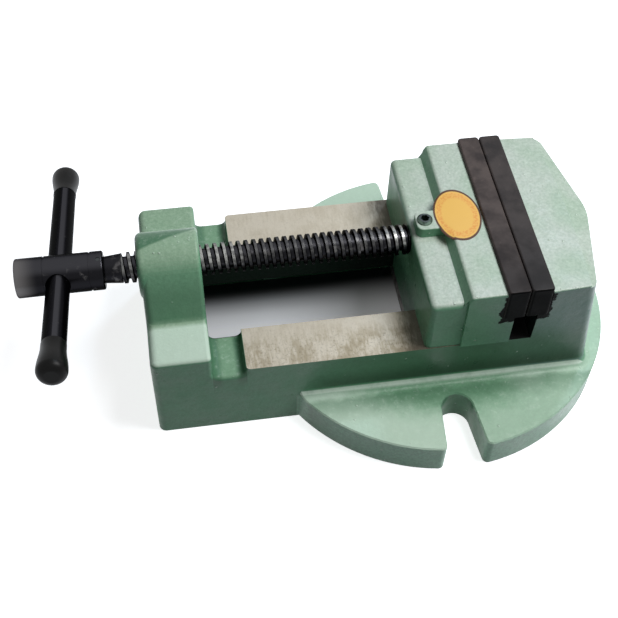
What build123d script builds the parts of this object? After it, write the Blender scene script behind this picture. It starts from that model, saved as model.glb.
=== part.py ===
from build123d import *
from math import asin, atan2, cos, hypot, radians, sin, sqrt
import os

# Drill press vise, closed, in millimetres.
# X runs along the screw towards the fixed jaw, Y across the jaws, Z up.
# The origin is on the underside, at the centre of the round flange.

# Jaw plates
plate_length = 110.0
plate_height = 20.0
plate_thick = 11.5
plate_round = 1.0
plate_corner = 1.8
grip_x = 32.75
closed_gap = 0.3

# Ways and body
way_z = 48.25
way_thick = 27.85
window_width = 54.5
way_width = 25.75
travel = 100.0
end_room = 8.9
groove_width = 17.0
groove_depth = 5.6
groove_round = 4.0
window_front = 5.0

# Moving jaw casting
jaw_top = 87.4
jaw_step = 6.0
upper_run = 17.4
riser_run = 3.2
lower_run = 16.7
plate_rise = 2.1
moving_shelf = 6.3
jaw_side = 1.0
lower_inset = 1.5
bridge_width = 13.0
bridge_back = 2.5
bridge_nose = 3.5
bridge_edge = 0.8
slide_gap = 0.15
lift_gap = 0.1
casting_round = 3.0
crest_round = 2.0
jaw_edge = 1.0

# Keeper under the ways
keeper_width = 76.0
keeper_thick = 8.0
keeper_end = 1.5
keeper_pitch = 22.0
keeper_screw = 8.0
keeper_head = 13.0
keeper_head_high = 6.0
keeper_grip = 16.0
keeper_hole = 8.8
washer_thick = 1.6
washer_size = 16.0

# Nut block
block_length = 30.5
shoulder_z = 59.7
screw_z = 74.0
hump_radius = 17.0
hump_foot = 28.0
hump_proud = 1.3
hump_fillet = 5.0
boss_round = 3.0
boss_depth = 5.0
block_round = 4.0
shoulder_round = 2.2

# Fixed jaw
fixed_shelf = 5.0
fixed_top = 86.6
pad_run = 19.0
pad_bow = 2.9
pad_step = 1.2
pad_edge = 0.8
fixed_flare = 1.8
rear_flare = 0.4
rear_corner = 20.2
rear_flat = 23.0
rear_apex = 33.8
rear_round = 30.0
rear_fall = 8.5
rear_lean = 10.2
corner_cut = 3.0
corner_round = 4.5

# Flange and bolt slots
flange_radius = 96.8
flange_thick = 19.0
flange_edge = 0.7
flange_fillet = 5.0
slot_width = 17.0
slot_centre = 71.8
slot_mouth = 21.8
slot_flare = 3.0

# Cavities under the casting
wall = 10.0
pocket_roof = 14.0
pocket_wall = 8.0

# Spindle
thread_size = 16.0
thread_gap = 0.1
thread_out = 9.0
thread_chamfer = 1.0
neck_length = 9.0
neck_small = 13.6
neck_wide = 15.4
stub_size = 12.0
journal_size = 11.0
journal_length = 22.0
journal_gap = 0.05
shoulder_gap = 0.3
bore_spare = 1.0
groove_place = 7.3
groove_wide = 4.6
groove_size = 8.0
spindle_in_hub = 15.0

# Set screw
set_size = 8.0
set_tip = 4.0
set_proud = 1.6
set_rim = 1.0
set_socket = 4.0
tip_gap = 0.3

# Hub, bar and caps
hub_size = 20.0
hub_length = 44.0
hub_edge = 1.0
hub_ring = 0.4
ring_wide = 0.9
ring_places = (6.9, 29.6)
pin_size = 2.2
pin_place = 2.3
pin_lean = 5.0
bar_place = 22.8
bar_size = 12.0
bar_gap = 0.3
bar_length = 171.0
bar_shift = 8.5
bar_tilt = 13.0
bar_lean = 1.3
cap_length = 22.0
cap_sleeve = 2.5
cap_lip = 0.15
cap_flare = 1.5
cap_dome = 4.5
cap_flat = 4.0
cap_wall = 5.5
tang_size = 8.0

# Jaw plate screws
ps_size = 6.0
ps_head = 10.0
ps_head_high = 6.0
ps_sunk = 0.6
ps_gap = 0.2
ps_grip = 13.0
ps_pitch = 64.0
ps_socket = 5.0

# Places that follow from the sizes
half_window = window_width / 2
half_body = half_window + way_width
under_way = way_z - way_thick
fixed_back = grip_x + plate_thick
moving_front = grip_x - closed_gap
moving_back = moving_front - plate_thick
plate_top = jaw_top + plate_rise
plate_low = plate_top - plate_height
jaw_front = moving_back + moving_shelf
riser_top = moving_back - upper_run
riser_low = riser_top - riser_run
jaw_left = riser_low - lower_run
upper_half = half_body + jaw_side
lower_half = upper_half - lower_inset
lower_z = jaw_top - jaw_step
block_right = jaw_left - travel - end_room
block_left = block_right - block_length
way_start = block_right + groove_width
groove_z = way_z - groove_depth
window_end = jaw_front + window_front
fixed_front = fixed_back - fixed_shelf
keeper_top = under_way - lift_gap
keeper_left = jaw_left + keeper_end
keeper_right = jaw_front - keeper_end
keeper_mid = (keeper_left + keeper_right) / 2
thread_end = jaw_left - shoulder_gap
thread_start = block_left - thread_out
hub_right = thread_start - neck_length
hub_left = hub_right - hub_length
bar_x = hub_right - bar_place
set_x = jaw_left + groove_place
screw_mid = (plate_top + plate_low) / 2
tilt, lean = radians(bar_tilt), radians(bar_lean)
bar_dir = Vector(sin(lean), cos(lean) * cos(tilt), -cos(lean) * sin(tilt))
bar_side = Vector(cos(lean), -sin(lean) * cos(tilt), sin(lean) * sin(tilt))
pin_dir = Vector(0, -sin(radians(pin_lean)), cos(radians(pin_lean)))
hub_centre = Vector(bar_x, 0, screw_z)
ledge_fall = radians(rear_fall)

os.makedirs("parts", exist_ok=True)


def along_x(x):
    """Plane across the screw at x, its local x along Y and its local y up."""
    return Plane(origin=(x, 0, 0), x_dir=(0, 1, 0), z_dir=(1, 0, 0))


def side_plane(y=0.0):
    """Upright plane along the screw, local x along X, local y up, normal towards -Y."""
    return Plane(origin=(0, y, 0), x_dir=(1, 0, 0), z_dir=(0, -1, 0))


def on_line(edge, axis, **at):
    """True where a straight edge runs along the axis and its centre is at the given values."""
    if edge.geom_type != GeomType.LINE or abs((edge % 0.5).dot(axis)) < 0.999:
        return False
    centre = edge.center()
    return all(abs(getattr(centre, k) - v) < 0.01 for k, v in at.items())


# The crest round the screw is an arc that runs tangent into two straight flanks.
foot_rise = screw_z - shoulder_z
foot_far = hypot(hump_foot, foot_rise)
flank_angle = atan2(foot_rise, hump_foot) + asin(hump_radius / foot_far)
flank_length = sqrt(foot_far**2 - hump_radius**2)
flank_y = -hump_foot + flank_length * cos(flank_angle)
flank_z = shoulder_z + flank_length * sin(flank_angle)


def rear_points(z):
    """Plan corners of the fixed jaw at height z: it leans back below and flares above the ways."""
    back = rear_lean * (1 - z / fixed_top)
    flare = max(0.0, z - way_z) / (fixed_top - way_z)
    front, side = half_body + fixed_flare * flare, half_body + rear_flare * flare
    corner = (fixed_back + rear_corner + back, side)
    flat = (fixed_back + rear_flat + back, side - corner_cut)
    far = [(fixed_back + rear_apex + back, 0), flat, corner, (fixed_front, front)]
    return [(x, -y) for x, y in reversed(far[1:])] + far


def crest_outline(half_foot):
    """Section of the crest down to the groove floor, its flanks tangent to the round top."""
    ThreePointArc((flank_y, flank_z), (0, screw_z + hump_radius), (-flank_y, flank_z))
    Polyline(
        (-flank_y, flank_z),
        (hump_foot, shoulder_z),
        (half_foot, shoulder_z),
        (half_foot, groove_z),
        (-half_foot, groove_z),
        (-half_foot, shoulder_z),
        (-hump_foot, shoulder_z),
        (flank_y, flank_z),
    )


def cap_outline():
    """Half section of a cap beside the bar's own axis: sleeve, smooth flare and domed end."""
    inner, end = bar_length / 2 - cap_length, bar_length / 2
    sleeve, rim = bar_size / 2 + cap_lip, bar_size / 2 + cap_flare
    Polyline((bar_size / 2, inner), (sleeve, inner), (sleeve, inner + cap_sleeve))
    Spline((sleeve, inner + cap_sleeve), (rim, end - cap_dome), tangents=[(0, 1), (0, 1)])
    TangentArc((rim, end - cap_dome), (rim - cap_flat, end), tangent=(0, 1))
    Polyline(
        (rim - cap_flat, end),
        (0, end),
        (0, end - cap_wall),
        (tang_size / 2, end - cap_wall),
        (tang_size / 2, inner + 1),
        (bar_size / 2, inner + 1),
        (bar_size / 2, inner),
    )


with BuildPart() as base_casting:
    # Nut block, groove and ways as one long side profile.
    with BuildSketch(side_plane(half_body)):
        with BuildLine():
            Polyline(
                (block_left, 0),
                (block_left, shoulder_z),
                (block_right, shoulder_z),
                (block_right, groove_z),
                (way_start, groove_z),
                (way_start, way_z),
                (fixed_front, way_z),
                (fixed_front, plate_low),
                (fixed_back, plate_low),
                (fixed_back, 0),
                close=True,
            )
        make_face()
    extrude(amount=2 * half_body)
    fillet(base_casting.edges().filter_by(lambda e: on_line(e, Vector(0, 1, 0), Z=groove_z)), groove_round)

    # Fixed jaw: two ruled lofts, upright at the ways and flared above them, with a blunt rear point.
    for low, high in ((0, way_z), (way_z, fixed_top)):
        for z in (low, high):
            with BuildSketch(Plane.XY.offset(z)) as plan:
                with BuildLine():
                    Polyline(*rear_points(z), close=True)
                make_face()
                fillet(plan.vertices().sort_by(Axis.X)[2:-1], corner_round)
                fillet(plan.vertices().sort_by(Axis.X)[-1], rear_round)
        loft(ruled=True)
    # Room for the jaw plate.
    with BuildSketch(side_plane(half_body + 5)):
        with BuildLine():
            Polyline(
                (fixed_front - 1, plate_low),
                (fixed_back, plate_low),
                (fixed_back, fixed_top + 1),
                (fixed_front - 1, fixed_top + 1),
                close=True,
            )
        make_face()
    extrude(amount=2 * half_body + 10, mode=Mode.SUBTRACT)
    # Ledge behind the flat pad, falling to the rear from a bowed step.
    ledge = Plane(
        origin=(fixed_back + pad_run, 0, fixed_top - pad_step),
        x_dir=(cos(ledge_fall), 0, -sin(ledge_fall)),
        z_dir=(sin(ledge_fall), 0, cos(ledge_fall)),
    )
    with BuildSketch(ledge):
        with BuildLine():
            reach = half_body + fixed_flare
            ThreePointArc((0, -reach), (pad_bow, 0), (0, reach))
            Polyline((0, reach), (rear_apex, reach), (rear_apex, -reach), (0, -reach))
        make_face()
    extrude(amount=3 * pad_step, mode=Mode.SUBTRACT)

    # Crest of the nut block, with a soft foot on each shoulder.
    with BuildSketch(along_x(block_left)) as crest:
        with BuildLine():
            crest_outline(hump_foot + hump_fillet)
        make_face()
        fillet(crest.vertices().filter_by(lambda v: abs(abs(v.X) - hump_foot) < 0.01), hump_fillet)
    extrude(amount=block_length)
    # Rounded ends and sides of the block, fuller at the end towards the handle.
    for x, size in ((block_left, block_round), (block_right, shoulder_round)):
        end_edges = base_casting.edges().filter_by(
            lambda e: abs(e.center().X - x) < 0.01 and e.center().Z > shoulder_z - 0.01
        )
        post_edges = base_casting.edges().filter_by(Axis.Z).filter_by(
            lambda e: abs(e.center().X - x) < 0.01 and abs(abs(e.center().Y) - half_body) < 0.01
        )
        side_edges = base_casting.edges().filter_by(
            lambda e: on_line(e, Vector(1, 0, 0), Z=shoulder_z) and abs(abs(e.center().Y) - half_body) < 0.01
        )
        fillet(end_edges + post_edges + (side_edges if x == block_right else []), size)
    # Boss round the screw at that end, rounded over.
    with BuildSketch(side_plane()) as boss:
        with BuildLine():
            front = block_left - hump_proud
            Polyline(
                (front, screw_z),
                (front, screw_z + hump_radius),
                (front + boss_depth, screw_z + hump_radius),
                (front + boss_depth, screw_z),
                close=True,
            )
        make_face()
        fillet(boss.vertices().sort_by(Axis.X)[:2].sort_by(Axis.Y)[-1], boss_round)
    revolve(axis=Axis((0, 0, screw_z), (1, 0, 0)))

    # Round flange with its foot fillet.
    with BuildSketch(Plane.XY):
        Circle(flange_radius)
    extrude(amount=flange_thick)
    foot_edges = base_casting.edges().filter_by(
        lambda e: abs(e.center().Z - flange_thick) < 0.01
        and abs(e.bounding_box().size.Z) < 0.01
        and not (e.geom_type == GeomType.CIRCLE and abs(e.radius - flange_radius) < 0.01)
    )
    fillet(foot_edges, flange_fillet)

    # Window between the ways and the open space under them.
    with BuildSketch(Plane.XY):
        with Locations(((block_right + window_end) / 2, 0)):
            Rectangle(window_end - block_right, window_width)
    extrude(amount=way_z + 1, mode=Mode.SUBTRACT)
    with BuildSketch(Plane.XY):
        with Locations(((block_right + window_end) / 2, 0)):
            Rectangle(window_end - block_right, 2 * (half_body - wall))
    extrude(amount=under_way, mode=Mode.SUBTRACT)
    # Pockets under the nut block and the fixed jaw.
    with BuildSketch(Plane.XY):
        with Locations(((block_left + block_right) / 2, 0)):
            RectangleRounded(block_length - 2 * pocket_wall, 2 * (half_body - wall), 4)
    extrude(amount=shoulder_z - pocket_roof, mode=Mode.SUBTRACT)
    pocket_left = window_end + pocket_wall
    pocket_right = fixed_back + rear_corner
    with BuildSketch(Plane.XY):
        with Locations(((pocket_left + pocket_right) / 2, 0)):
            RectangleRounded(pocket_right - pocket_left, 2 * (half_body - wall), 6)
    extrude(amount=plate_low - pocket_roof, mode=Mode.SUBTRACT)

    # Open bolt slots, near and far.
    with BuildSketch(Plane.XY) as slots:
        with Locations((0, -slot_centre), (0, slot_centre)):
            Circle(slot_width / 2)
        reach = flange_radius + 2
        for s in (-1, 1):
            with BuildLine():
                Polyline(
                    (-slot_width / 2, s * slot_centre),
                    (slot_width / 2, s * slot_centre),
                    (slot_mouth / 2, s * reach),
                    (-slot_mouth / 2, s * reach),
                    close=True,
                )
            make_face()
    extrude(amount=flange_thick, mode=Mode.SUBTRACT)
    mouth_edges = base_casting.edges().filter_by(Axis.Z).filter_by(
        lambda e: abs(abs(e.center().X) - slot_mouth / 2) < 1.2 and abs(e.center().Y) > flange_radius - 6
    )
    fillet(mouth_edges, slot_flare)

    # Screw bore.
    with BuildSketch(along_x(block_left - hump_proud - 1)):
        with Locations((0, screw_z)):
            Circle(thread_size / 2 + thread_gap)
    extrude(amount=block_length + 2 * hump_proud + 2, mode=Mode.SUBTRACT)

    # Tapped holes for the plate screws.
    with BuildSketch(along_x(fixed_back)):
        with Locations((-ps_pitch / 2, screw_mid), (ps_pitch / 2, screw_mid)):
            Circle(ps_size / 2)
    extrude(amount=ps_grip, mode=Mode.SUBTRACT)

    # Softened rim of the flange.
    rim_edges = base_casting.edges().filter_by(
        lambda e: e.geom_type == GeomType.CIRCLE
        and abs(e.radius - flange_radius) < 0.01
        and abs(e.center().Z - flange_thick) < 0.01
        and abs(e.bounding_box().size.Z) < 0.01
    )
    chamfer(rim_edges, flange_edge)

    # Softened side edges of the pad.
    pad_edges = base_casting.edges().filter_by(
        lambda e: abs(e.center().Z - fixed_top) < 0.01 and abs(e.center().Y) > half_body
    )
    fillet(pad_edges, pad_edge)

base_casting.part.label = "base_casting"
export_step(base_casting.part, "parts/base_casting.step")

with BuildPart() as fixed_jaw_plate:
    with BuildSketch(along_x(grip_x)):
        with Locations((0, screw_mid)):
            Rectangle(plate_length, plate_height)
    extrude(amount=plate_thick)
    fillet(fixed_jaw_plate.edges().filter_by(Axis.Z), plate_corner)
    fillet(fixed_jaw_plate.edges().filter_by(lambda e: abs(e.center().Z - plate_top) < 0.01), plate_round)
    with BuildSketch(along_x(grip_x)):
        with Locations((-ps_pitch / 2, screw_mid), (ps_pitch / 2, screw_mid)):
            Circle(ps_head / 2 + ps_gap)
    extrude(amount=ps_head_high + ps_sunk, mode=Mode.SUBTRACT)
    with BuildSketch(along_x(grip_x)):
        with Locations((-ps_pitch / 2, screw_mid), (ps_pitch / 2, screw_mid)):
            Circle(ps_size / 2 + ps_gap)
    extrude(amount=plate_thick, mode=Mode.SUBTRACT)

fixed_jaw_plate.part.label = "fixed_jaw_plate"
export_step(fixed_jaw_plate.part, "parts/fixed_jaw_plate.step")

with BuildPart() as moving_jaw_plate:
    with BuildSketch(along_x(moving_back)):
        with Locations((0, screw_mid)):
            Rectangle(plate_length, plate_height)
    extrude(amount=plate_thick)
    fillet(moving_jaw_plate.edges().filter_by(Axis.Z), plate_corner)
    fillet(moving_jaw_plate.edges().filter_by(lambda e: abs(e.center().Z - plate_top) < 0.01), plate_round)
    with BuildSketch(along_x(moving_front)):
        with Locations((-ps_pitch / 2, screw_mid), (ps_pitch / 2, screw_mid)):
            Circle(ps_head / 2 + ps_gap)
    extrude(amount=-(ps_head_high + ps_sunk), mode=Mode.SUBTRACT)
    with BuildSketch(along_x(moving_front)):
        with Locations((-ps_pitch / 2, screw_mid), (ps_pitch / 2, screw_mid)):
            Circle(ps_size / 2 + ps_gap)
    extrude(amount=-plate_thick, mode=Mode.SUBTRACT)

moving_jaw_plate.part.label = "moving_jaw_plate"
export_step(moving_jaw_plate.part, "parts/moving_jaw_plate.step")

# Socket cap screws; each head sits on the shoulder of its hole, its shank in the casting.
with BuildPart() as fixed_plate_screws:
    head_x = grip_x + ps_sunk
    with BuildSketch(along_x(head_x)):
        with Locations((-ps_pitch / 2, screw_mid), (ps_pitch / 2, screw_mid)):
            Circle(ps_head / 2)
    extrude(amount=ps_head_high)
    with BuildSketch(along_x(head_x)):
        with Locations((-ps_pitch / 2, screw_mid), (ps_pitch / 2, screw_mid)):
            Circle(ps_size / 2)
    extrude(amount=fixed_back + ps_grip - 1 - head_x)
    with BuildSketch(along_x(head_x)):
        with Locations((-ps_pitch / 2, screw_mid), (ps_pitch / 2, screw_mid)):
            RegularPolygon(ps_socket / 2, 6, major_radius=False)
    extrude(amount=ps_head_high / 2, mode=Mode.SUBTRACT)

fixed_plate_screws.part.label = "fixed_plate_screws"
export_step(fixed_plate_screws.part, "parts/fixed_plate_screws.step")

with BuildPart() as moving_plate_screws:
    head_x = moving_front - ps_sunk
    with BuildSketch(along_x(head_x)):
        with Locations((-ps_pitch / 2, screw_mid), (ps_pitch / 2, screw_mid)):
            Circle(ps_head / 2)
    extrude(amount=-ps_head_high)
    with BuildSketch(along_x(head_x)):
        with Locations((-ps_pitch / 2, screw_mid), (ps_pitch / 2, screw_mid)):
            Circle(ps_size / 2)
    extrude(amount=-(head_x - moving_back + ps_grip - 1))
    with BuildSketch(along_x(head_x)):
        with Locations((-ps_pitch / 2, screw_mid), (ps_pitch / 2, screw_mid)):
            RegularPolygon(ps_socket / 2, 6, major_radius=False)
    extrude(amount=-ps_head_high / 2, mode=Mode.SUBTRACT)

moving_plate_screws.part.label = "moving_plate_screws"
export_step(moving_plate_screws.part, "parts/moving_plate_screws.step")

with BuildPart() as moving_jaw:
    # Bridge over the spindle end, with a rounded nose.
    with BuildSketch(Plane.XY.offset(lower_z - casting_round)) as bridge:
        with Locations(((jaw_left + bridge_back + riser_top + plate_thick) / 2, 0)):
            Rectangle(riser_top + plate_thick - jaw_left - bridge_back, bridge_width)
        fillet(bridge.vertices().sort_by(Axis.X)[:2], bridge_nose)
    extrude(amount=jaw_step + casting_round)
    fillet(moving_jaw.faces().sort_by(Axis.Z)[-1].edges().sort_by(Axis.X)[:-1], bridge_edge)
    # Stepped body that rides on the ways; its upper step stands a little proud at both sides.
    right_side = [(moving_back, jaw_top), (moving_back, plate_low), (jaw_front, plate_low), (jaw_front, way_z)]
    with BuildSketch(side_plane(lower_half)) as step:
        with BuildLine():
            Polyline(
                (jaw_left, way_z),
                (jaw_left, lower_z),
                (riser_low, lower_z),
                (riser_top, jaw_top),
                *right_side,
                close=True,
            )
        make_face()
        fillet(step.vertices().group_by(Axis.X)[0].sort_by(Axis.Y)[-1], casting_round)
        fillet(step.vertices().filter_by(lambda v: abs(v.X - riser_top) < 0.01), crest_round)
    extrude(amount=2 * lower_half)
    with BuildSketch(side_plane(upper_half)) as step:
        with BuildLine():
            riser_mid = (riser_low + riser_top) / 2
            Polyline(
                (riser_mid, way_z),
                (riser_mid, (jaw_top + lower_z) / 2),
                (riser_top, jaw_top),
                *right_side,
                close=True,
            )
        make_face()
        fillet(step.vertices().filter_by(lambda v: abs(v.X - riser_top) < 0.01), crest_round)
    extrude(amount=2 * upper_half)
    # Softened corners of the body.
    corner_edges = moving_jaw.edges().filter_by(Axis.Z).filter_by(
        lambda e: abs(e.center().X - jaw_left) < 0.01 and abs(e.center().Y) > bridge_width
    )
    fillet(corner_edges, casting_round)
    top_edges = moving_jaw.edges().filter_by(Axis.X).filter_by(
        lambda e: e.center().Z > lower_z - 0.1 and abs(e.center().Y) > bridge_width
    )
    fillet(top_edges, jaw_edge)
    # Tongue between the ways.
    with BuildSketch(Plane.XY.offset(keeper_top)):
        with Locations((keeper_mid, 0)):
            Rectangle(keeper_right - keeper_left, window_width - 2 * slide_gap)
    extrude(amount=way_z - keeper_top)
    # Bore for the spindle journal, tapped hole for the set screw above it.
    with BuildSketch(along_x(jaw_left)):
        with Locations((0, screw_z)):
            Circle(journal_size / 2 + journal_gap)
    extrude(amount=journal_length + bore_spare, mode=Mode.SUBTRACT)
    with BuildSketch(Plane.XY.offset(screw_z)):
        with Locations((set_x, 0)):
            Circle(set_size / 2)
    extrude(amount=jaw_top - screw_z + 1, mode=Mode.SUBTRACT)
    # Tapped holes for the plate screws and the keeper screws.
    with BuildSketch(along_x(moving_back)):
        with Locations((-ps_pitch / 2, screw_mid), (ps_pitch / 2, screw_mid)):
            Circle(ps_size / 2)
    extrude(amount=-ps_grip, mode=Mode.SUBTRACT)
    with BuildSketch(Plane.XY.offset(keeper_top)):
        with Locations((keeper_mid - keeper_pitch / 2, 0), (keeper_mid + keeper_pitch / 2, 0)):
            Circle(keeper_screw / 2)
    extrude(amount=keeper_grip, mode=Mode.SUBTRACT)

moving_jaw.part.label = "moving_jaw"
export_step(moving_jaw.part, "parts/moving_jaw.step")

with BuildPart() as keeper_plate:
    with BuildSketch(Plane.XY.offset(keeper_top)):
        with Locations((keeper_mid, 0)):
            Rectangle(keeper_right - keeper_left, keeper_width)
        with Locations((keeper_mid - keeper_pitch / 2, 0), (keeper_mid + keeper_pitch / 2, 0)):
            Circle(keeper_hole / 2, mode=Mode.SUBTRACT)
    extrude(amount=-keeper_thick)

keeper_plate.part.label = "keeper_plate"
export_step(keeper_plate.part, "parts/keeper_plate.step")

with BuildPart() as keeper_washers:
    with BuildSketch(Plane.XY.offset(keeper_top - keeper_thick)):
        with Locations((keeper_mid - keeper_pitch / 2, 0), (keeper_mid + keeper_pitch / 2, 0)):
            Circle(washer_size / 2)
            Circle(keeper_hole / 2, mode=Mode.SUBTRACT)
    extrude(amount=-washer_thick)

keeper_washers.part.label = "keeper_washers"
export_step(keeper_washers.part, "parts/keeper_washers.step")

with BuildPart() as keeper_screws:
    seat_z = keeper_top - keeper_thick - washer_thick
    with BuildSketch(Plane.XY.offset(seat_z)):
        with Locations((keeper_mid - keeper_pitch / 2, 0), (keeper_mid + keeper_pitch / 2, 0)):
            RegularPolygon(keeper_head / 2, 6, major_radius=False)
    extrude(amount=-keeper_head_high)
    with BuildSketch(Plane.XY.offset(seat_z)):
        with Locations((keeper_mid - keeper_pitch / 2, 0), (keeper_mid + keeper_pitch / 2, 0)):
            Circle(keeper_screw / 2)
    extrude(amount=keeper_top - seat_z + keeper_grip - 1)

keeper_screws.part.label = "keeper_screws"
export_step(keeper_screws.part, "parts/keeper_screws.step")

# Spindle, turned from one bar: journal with its groove, thread blank, neck and stub.
with BuildPart() as spindle:
    with BuildSketch(side_plane()):
        with BuildLine():
            big = screw_z + thread_size / 2
            small = screw_z + journal_size / 2
            low = screw_z + groove_size / 2
            stub = hub_right - spindle_in_hub
            Polyline(
                (stub, screw_z),
                (stub, screw_z + stub_size / 2),
                (hub_right, screw_z + stub_size / 2),
                (hub_right, screw_z + neck_small / 2),
                (thread_start, screw_z + neck_wide / 2),
                (thread_start, big),
                (thread_end, big),
                (thread_end, small),
                (set_x - groove_wide / 2, small),
                (set_x - groove_wide / 2, low),
                (set_x + groove_wide / 2, low),
                (set_x + groove_wide / 2, small),
                (jaw_left + journal_length, small),
                (jaw_left + journal_length, screw_z),
                close=True,
            )
        make_face()
    revolve(axis=Axis((0, 0, screw_z), (1, 0, 0)))
    chamfer(
        spindle.edges().filter_by(
            lambda e: e.geom_type == GeomType.CIRCLE
            and abs(e.radius - thread_size / 2) < 0.01
            and abs(e.center().X - thread_end) < 0.01
        ),
        thread_chamfer,
    )
    # Cross hole for the hub pin.
    with BuildSketch(Plane(origin=(hub_right - pin_place, 0, screw_z), z_dir=pin_dir)):
        Circle(pin_size / 2)
    extrude(amount=hub_size, both=True, mode=Mode.SUBTRACT)

spindle.part.label = "spindle"
export_step(spindle.part, "parts/spindle.step")

with BuildPart() as set_screw:
    tip_z = screw_z + groove_size / 2 + tip_gap
    body_z = screw_z + journal_size / 2 + tip_gap
    with BuildSketch(Plane.XY.offset(tip_z)):
        with Locations((set_x, 0)):
            Circle(set_tip / 2)
    extrude(amount=body_z - tip_z)
    with BuildSketch(Plane.XY.offset(body_z)):
        with Locations((set_x, 0)):
            Circle(set_size / 2)
    extrude(amount=jaw_top + set_proud - body_z)
    chamfer(set_screw.faces().sort_by(Axis.Z)[-1].edges(), set_rim)
    with BuildSketch(Plane.XY.offset(jaw_top + set_proud)):
        with Locations((set_x, 0)):
            RegularPolygon(set_socket / 2, 6, major_radius=False)
    extrude(amount=-set_socket, mode=Mode.SUBTRACT)

set_screw.part.label = "set_screw"
export_step(set_screw.part, "parts/set_screw.step")

with BuildPart() as hub:
    with BuildSketch(along_x(hub_left)):
        with Locations((0, screw_z)):
            Circle(hub_size / 2)
    extrude(amount=hub_length)
    fillet(hub.edges().filter_by(GeomType.CIRCLE), hub_edge)
    # Two shallow turned rings.
    for place in ring_places:
        with BuildSketch(along_x(hub_right - place - ring_wide / 2)):
            with Locations((0, screw_z)):
                Circle(hub_size / 2 + 1)
                Circle(hub_size / 2 - hub_ring, mode=Mode.SUBTRACT)
        extrude(amount=ring_wide, mode=Mode.SUBTRACT)
    # Socket for the spindle stub, hole for the bar, hole for the pin.
    with BuildSketch(along_x(hub_right)):
        with Locations((0, screw_z)):
            Circle(stub_size / 2)
    extrude(amount=-spindle_in_hub, mode=Mode.SUBTRACT)
    with BuildSketch(Plane(origin=hub_centre, z_dir=bar_dir)):
        Circle(bar_size / 2 + bar_gap)
    extrude(amount=hub_size, both=True, mode=Mode.SUBTRACT)
    with BuildSketch(Plane(origin=(hub_right - pin_place, 0, screw_z), z_dir=pin_dir)):
        Circle(pin_size / 2)
    extrude(amount=hub_size, both=True, mode=Mode.SUBTRACT)

hub.part.label = "hub"
export_step(hub.part, "parts/hub.step")

with BuildPart() as hub_pin:
    with BuildSketch(Plane(origin=(hub_right - pin_place, 0, screw_z), z_dir=pin_dir)):
        Circle(pin_size / 2)
    extrude(amount=hub_size / 2 - 0.3, both=True)

hub_pin.part.label = "hub_pin"
export_step(hub_pin.part, "parts/hub_pin.step")

# Handle bar, slid a little towards the far side, with a turned tang at each end for its cap.
with BuildPart() as tommy_bar:
    bar_mid = hub_centre + bar_dir * bar_shift
    body_half = bar_length / 2 - cap_length + 1
    with BuildSketch(Plane(origin=bar_mid, z_dir=bar_dir)):
        Circle(bar_size / 2)
    extrude(amount=body_half, both=True)
    with BuildSketch(Plane(origin=bar_mid, z_dir=bar_dir)):
        Circle(tang_size / 2)
    extrude(amount=bar_length / 2 - cap_wall, both=True)

tommy_bar.part.label = "tommy_bar"
export_step(tommy_bar.part, "parts/tommy_bar.step")


with BuildPart() as end_cap_far:
    with BuildSketch(Plane(origin=bar_mid, x_dir=bar_side, z_dir=bar_side.cross(bar_dir))):
        with BuildLine():
            cap_outline()
        make_face()
    revolve(axis=Axis(bar_mid, bar_dir))

end_cap_far.part.label = "end_cap_far"
export_step(end_cap_far.part, "parts/end_cap_far.step")

with BuildPart() as end_cap_near:
    with BuildSketch(Plane(origin=bar_mid, x_dir=bar_side, z_dir=bar_side.cross(bar_dir * -1))):
        with BuildLine():
            cap_outline()
        make_face()
    revolve(axis=Axis(bar_mid, bar_dir))

end_cap_near.part.label = "end_cap_near"
export_step(end_cap_near.part, "parts/end_cap_near.step")
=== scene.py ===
"""Drill press vise on a round base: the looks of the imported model."""

from __future__ import annotations

import logging
import math
from contextlib import contextmanager
from dataclasses import dataclass
from enum import Enum
from typing import Any, Callable, Iterable, Iterator

import bpy
from mathutils import Matrix, Vector


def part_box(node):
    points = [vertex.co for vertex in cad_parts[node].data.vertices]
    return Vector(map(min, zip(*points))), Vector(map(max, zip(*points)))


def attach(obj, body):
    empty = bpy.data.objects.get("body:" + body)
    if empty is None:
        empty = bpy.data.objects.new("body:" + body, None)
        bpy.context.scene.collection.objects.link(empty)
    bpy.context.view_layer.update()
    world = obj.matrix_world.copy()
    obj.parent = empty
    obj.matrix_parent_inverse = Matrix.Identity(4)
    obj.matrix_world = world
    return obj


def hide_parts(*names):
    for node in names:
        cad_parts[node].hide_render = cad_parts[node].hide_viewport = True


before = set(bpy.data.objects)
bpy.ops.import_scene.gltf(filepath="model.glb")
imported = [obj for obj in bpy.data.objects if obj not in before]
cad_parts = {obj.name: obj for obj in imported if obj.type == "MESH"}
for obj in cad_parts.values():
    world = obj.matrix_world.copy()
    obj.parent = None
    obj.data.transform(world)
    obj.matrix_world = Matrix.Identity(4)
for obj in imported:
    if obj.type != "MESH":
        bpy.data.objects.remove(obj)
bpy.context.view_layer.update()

LOG = logging.getLogger("vise")
MM = 0.001

# Sizes in millimetres that more than one class needs.
SCREW_AXIS_MM = 74.0
SCREW_RADIUS_MM = 8.0
BODY_HALF_MM = 53.0
LABEL_CENTRE_MM = (8.4, 1.4)
LABEL_HALF_MM = (12.2, 17.8)


class Body(Enum):
    """Rigid bodies that new pieces ride on."""

    JAW = "slide_jaw"
    SCREW = "screw"


class Slot(Enum):
    """Names of two material slots of the record."""

    JAW = "jaw_green"
    SPINDLE = "spindle_black"


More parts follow.
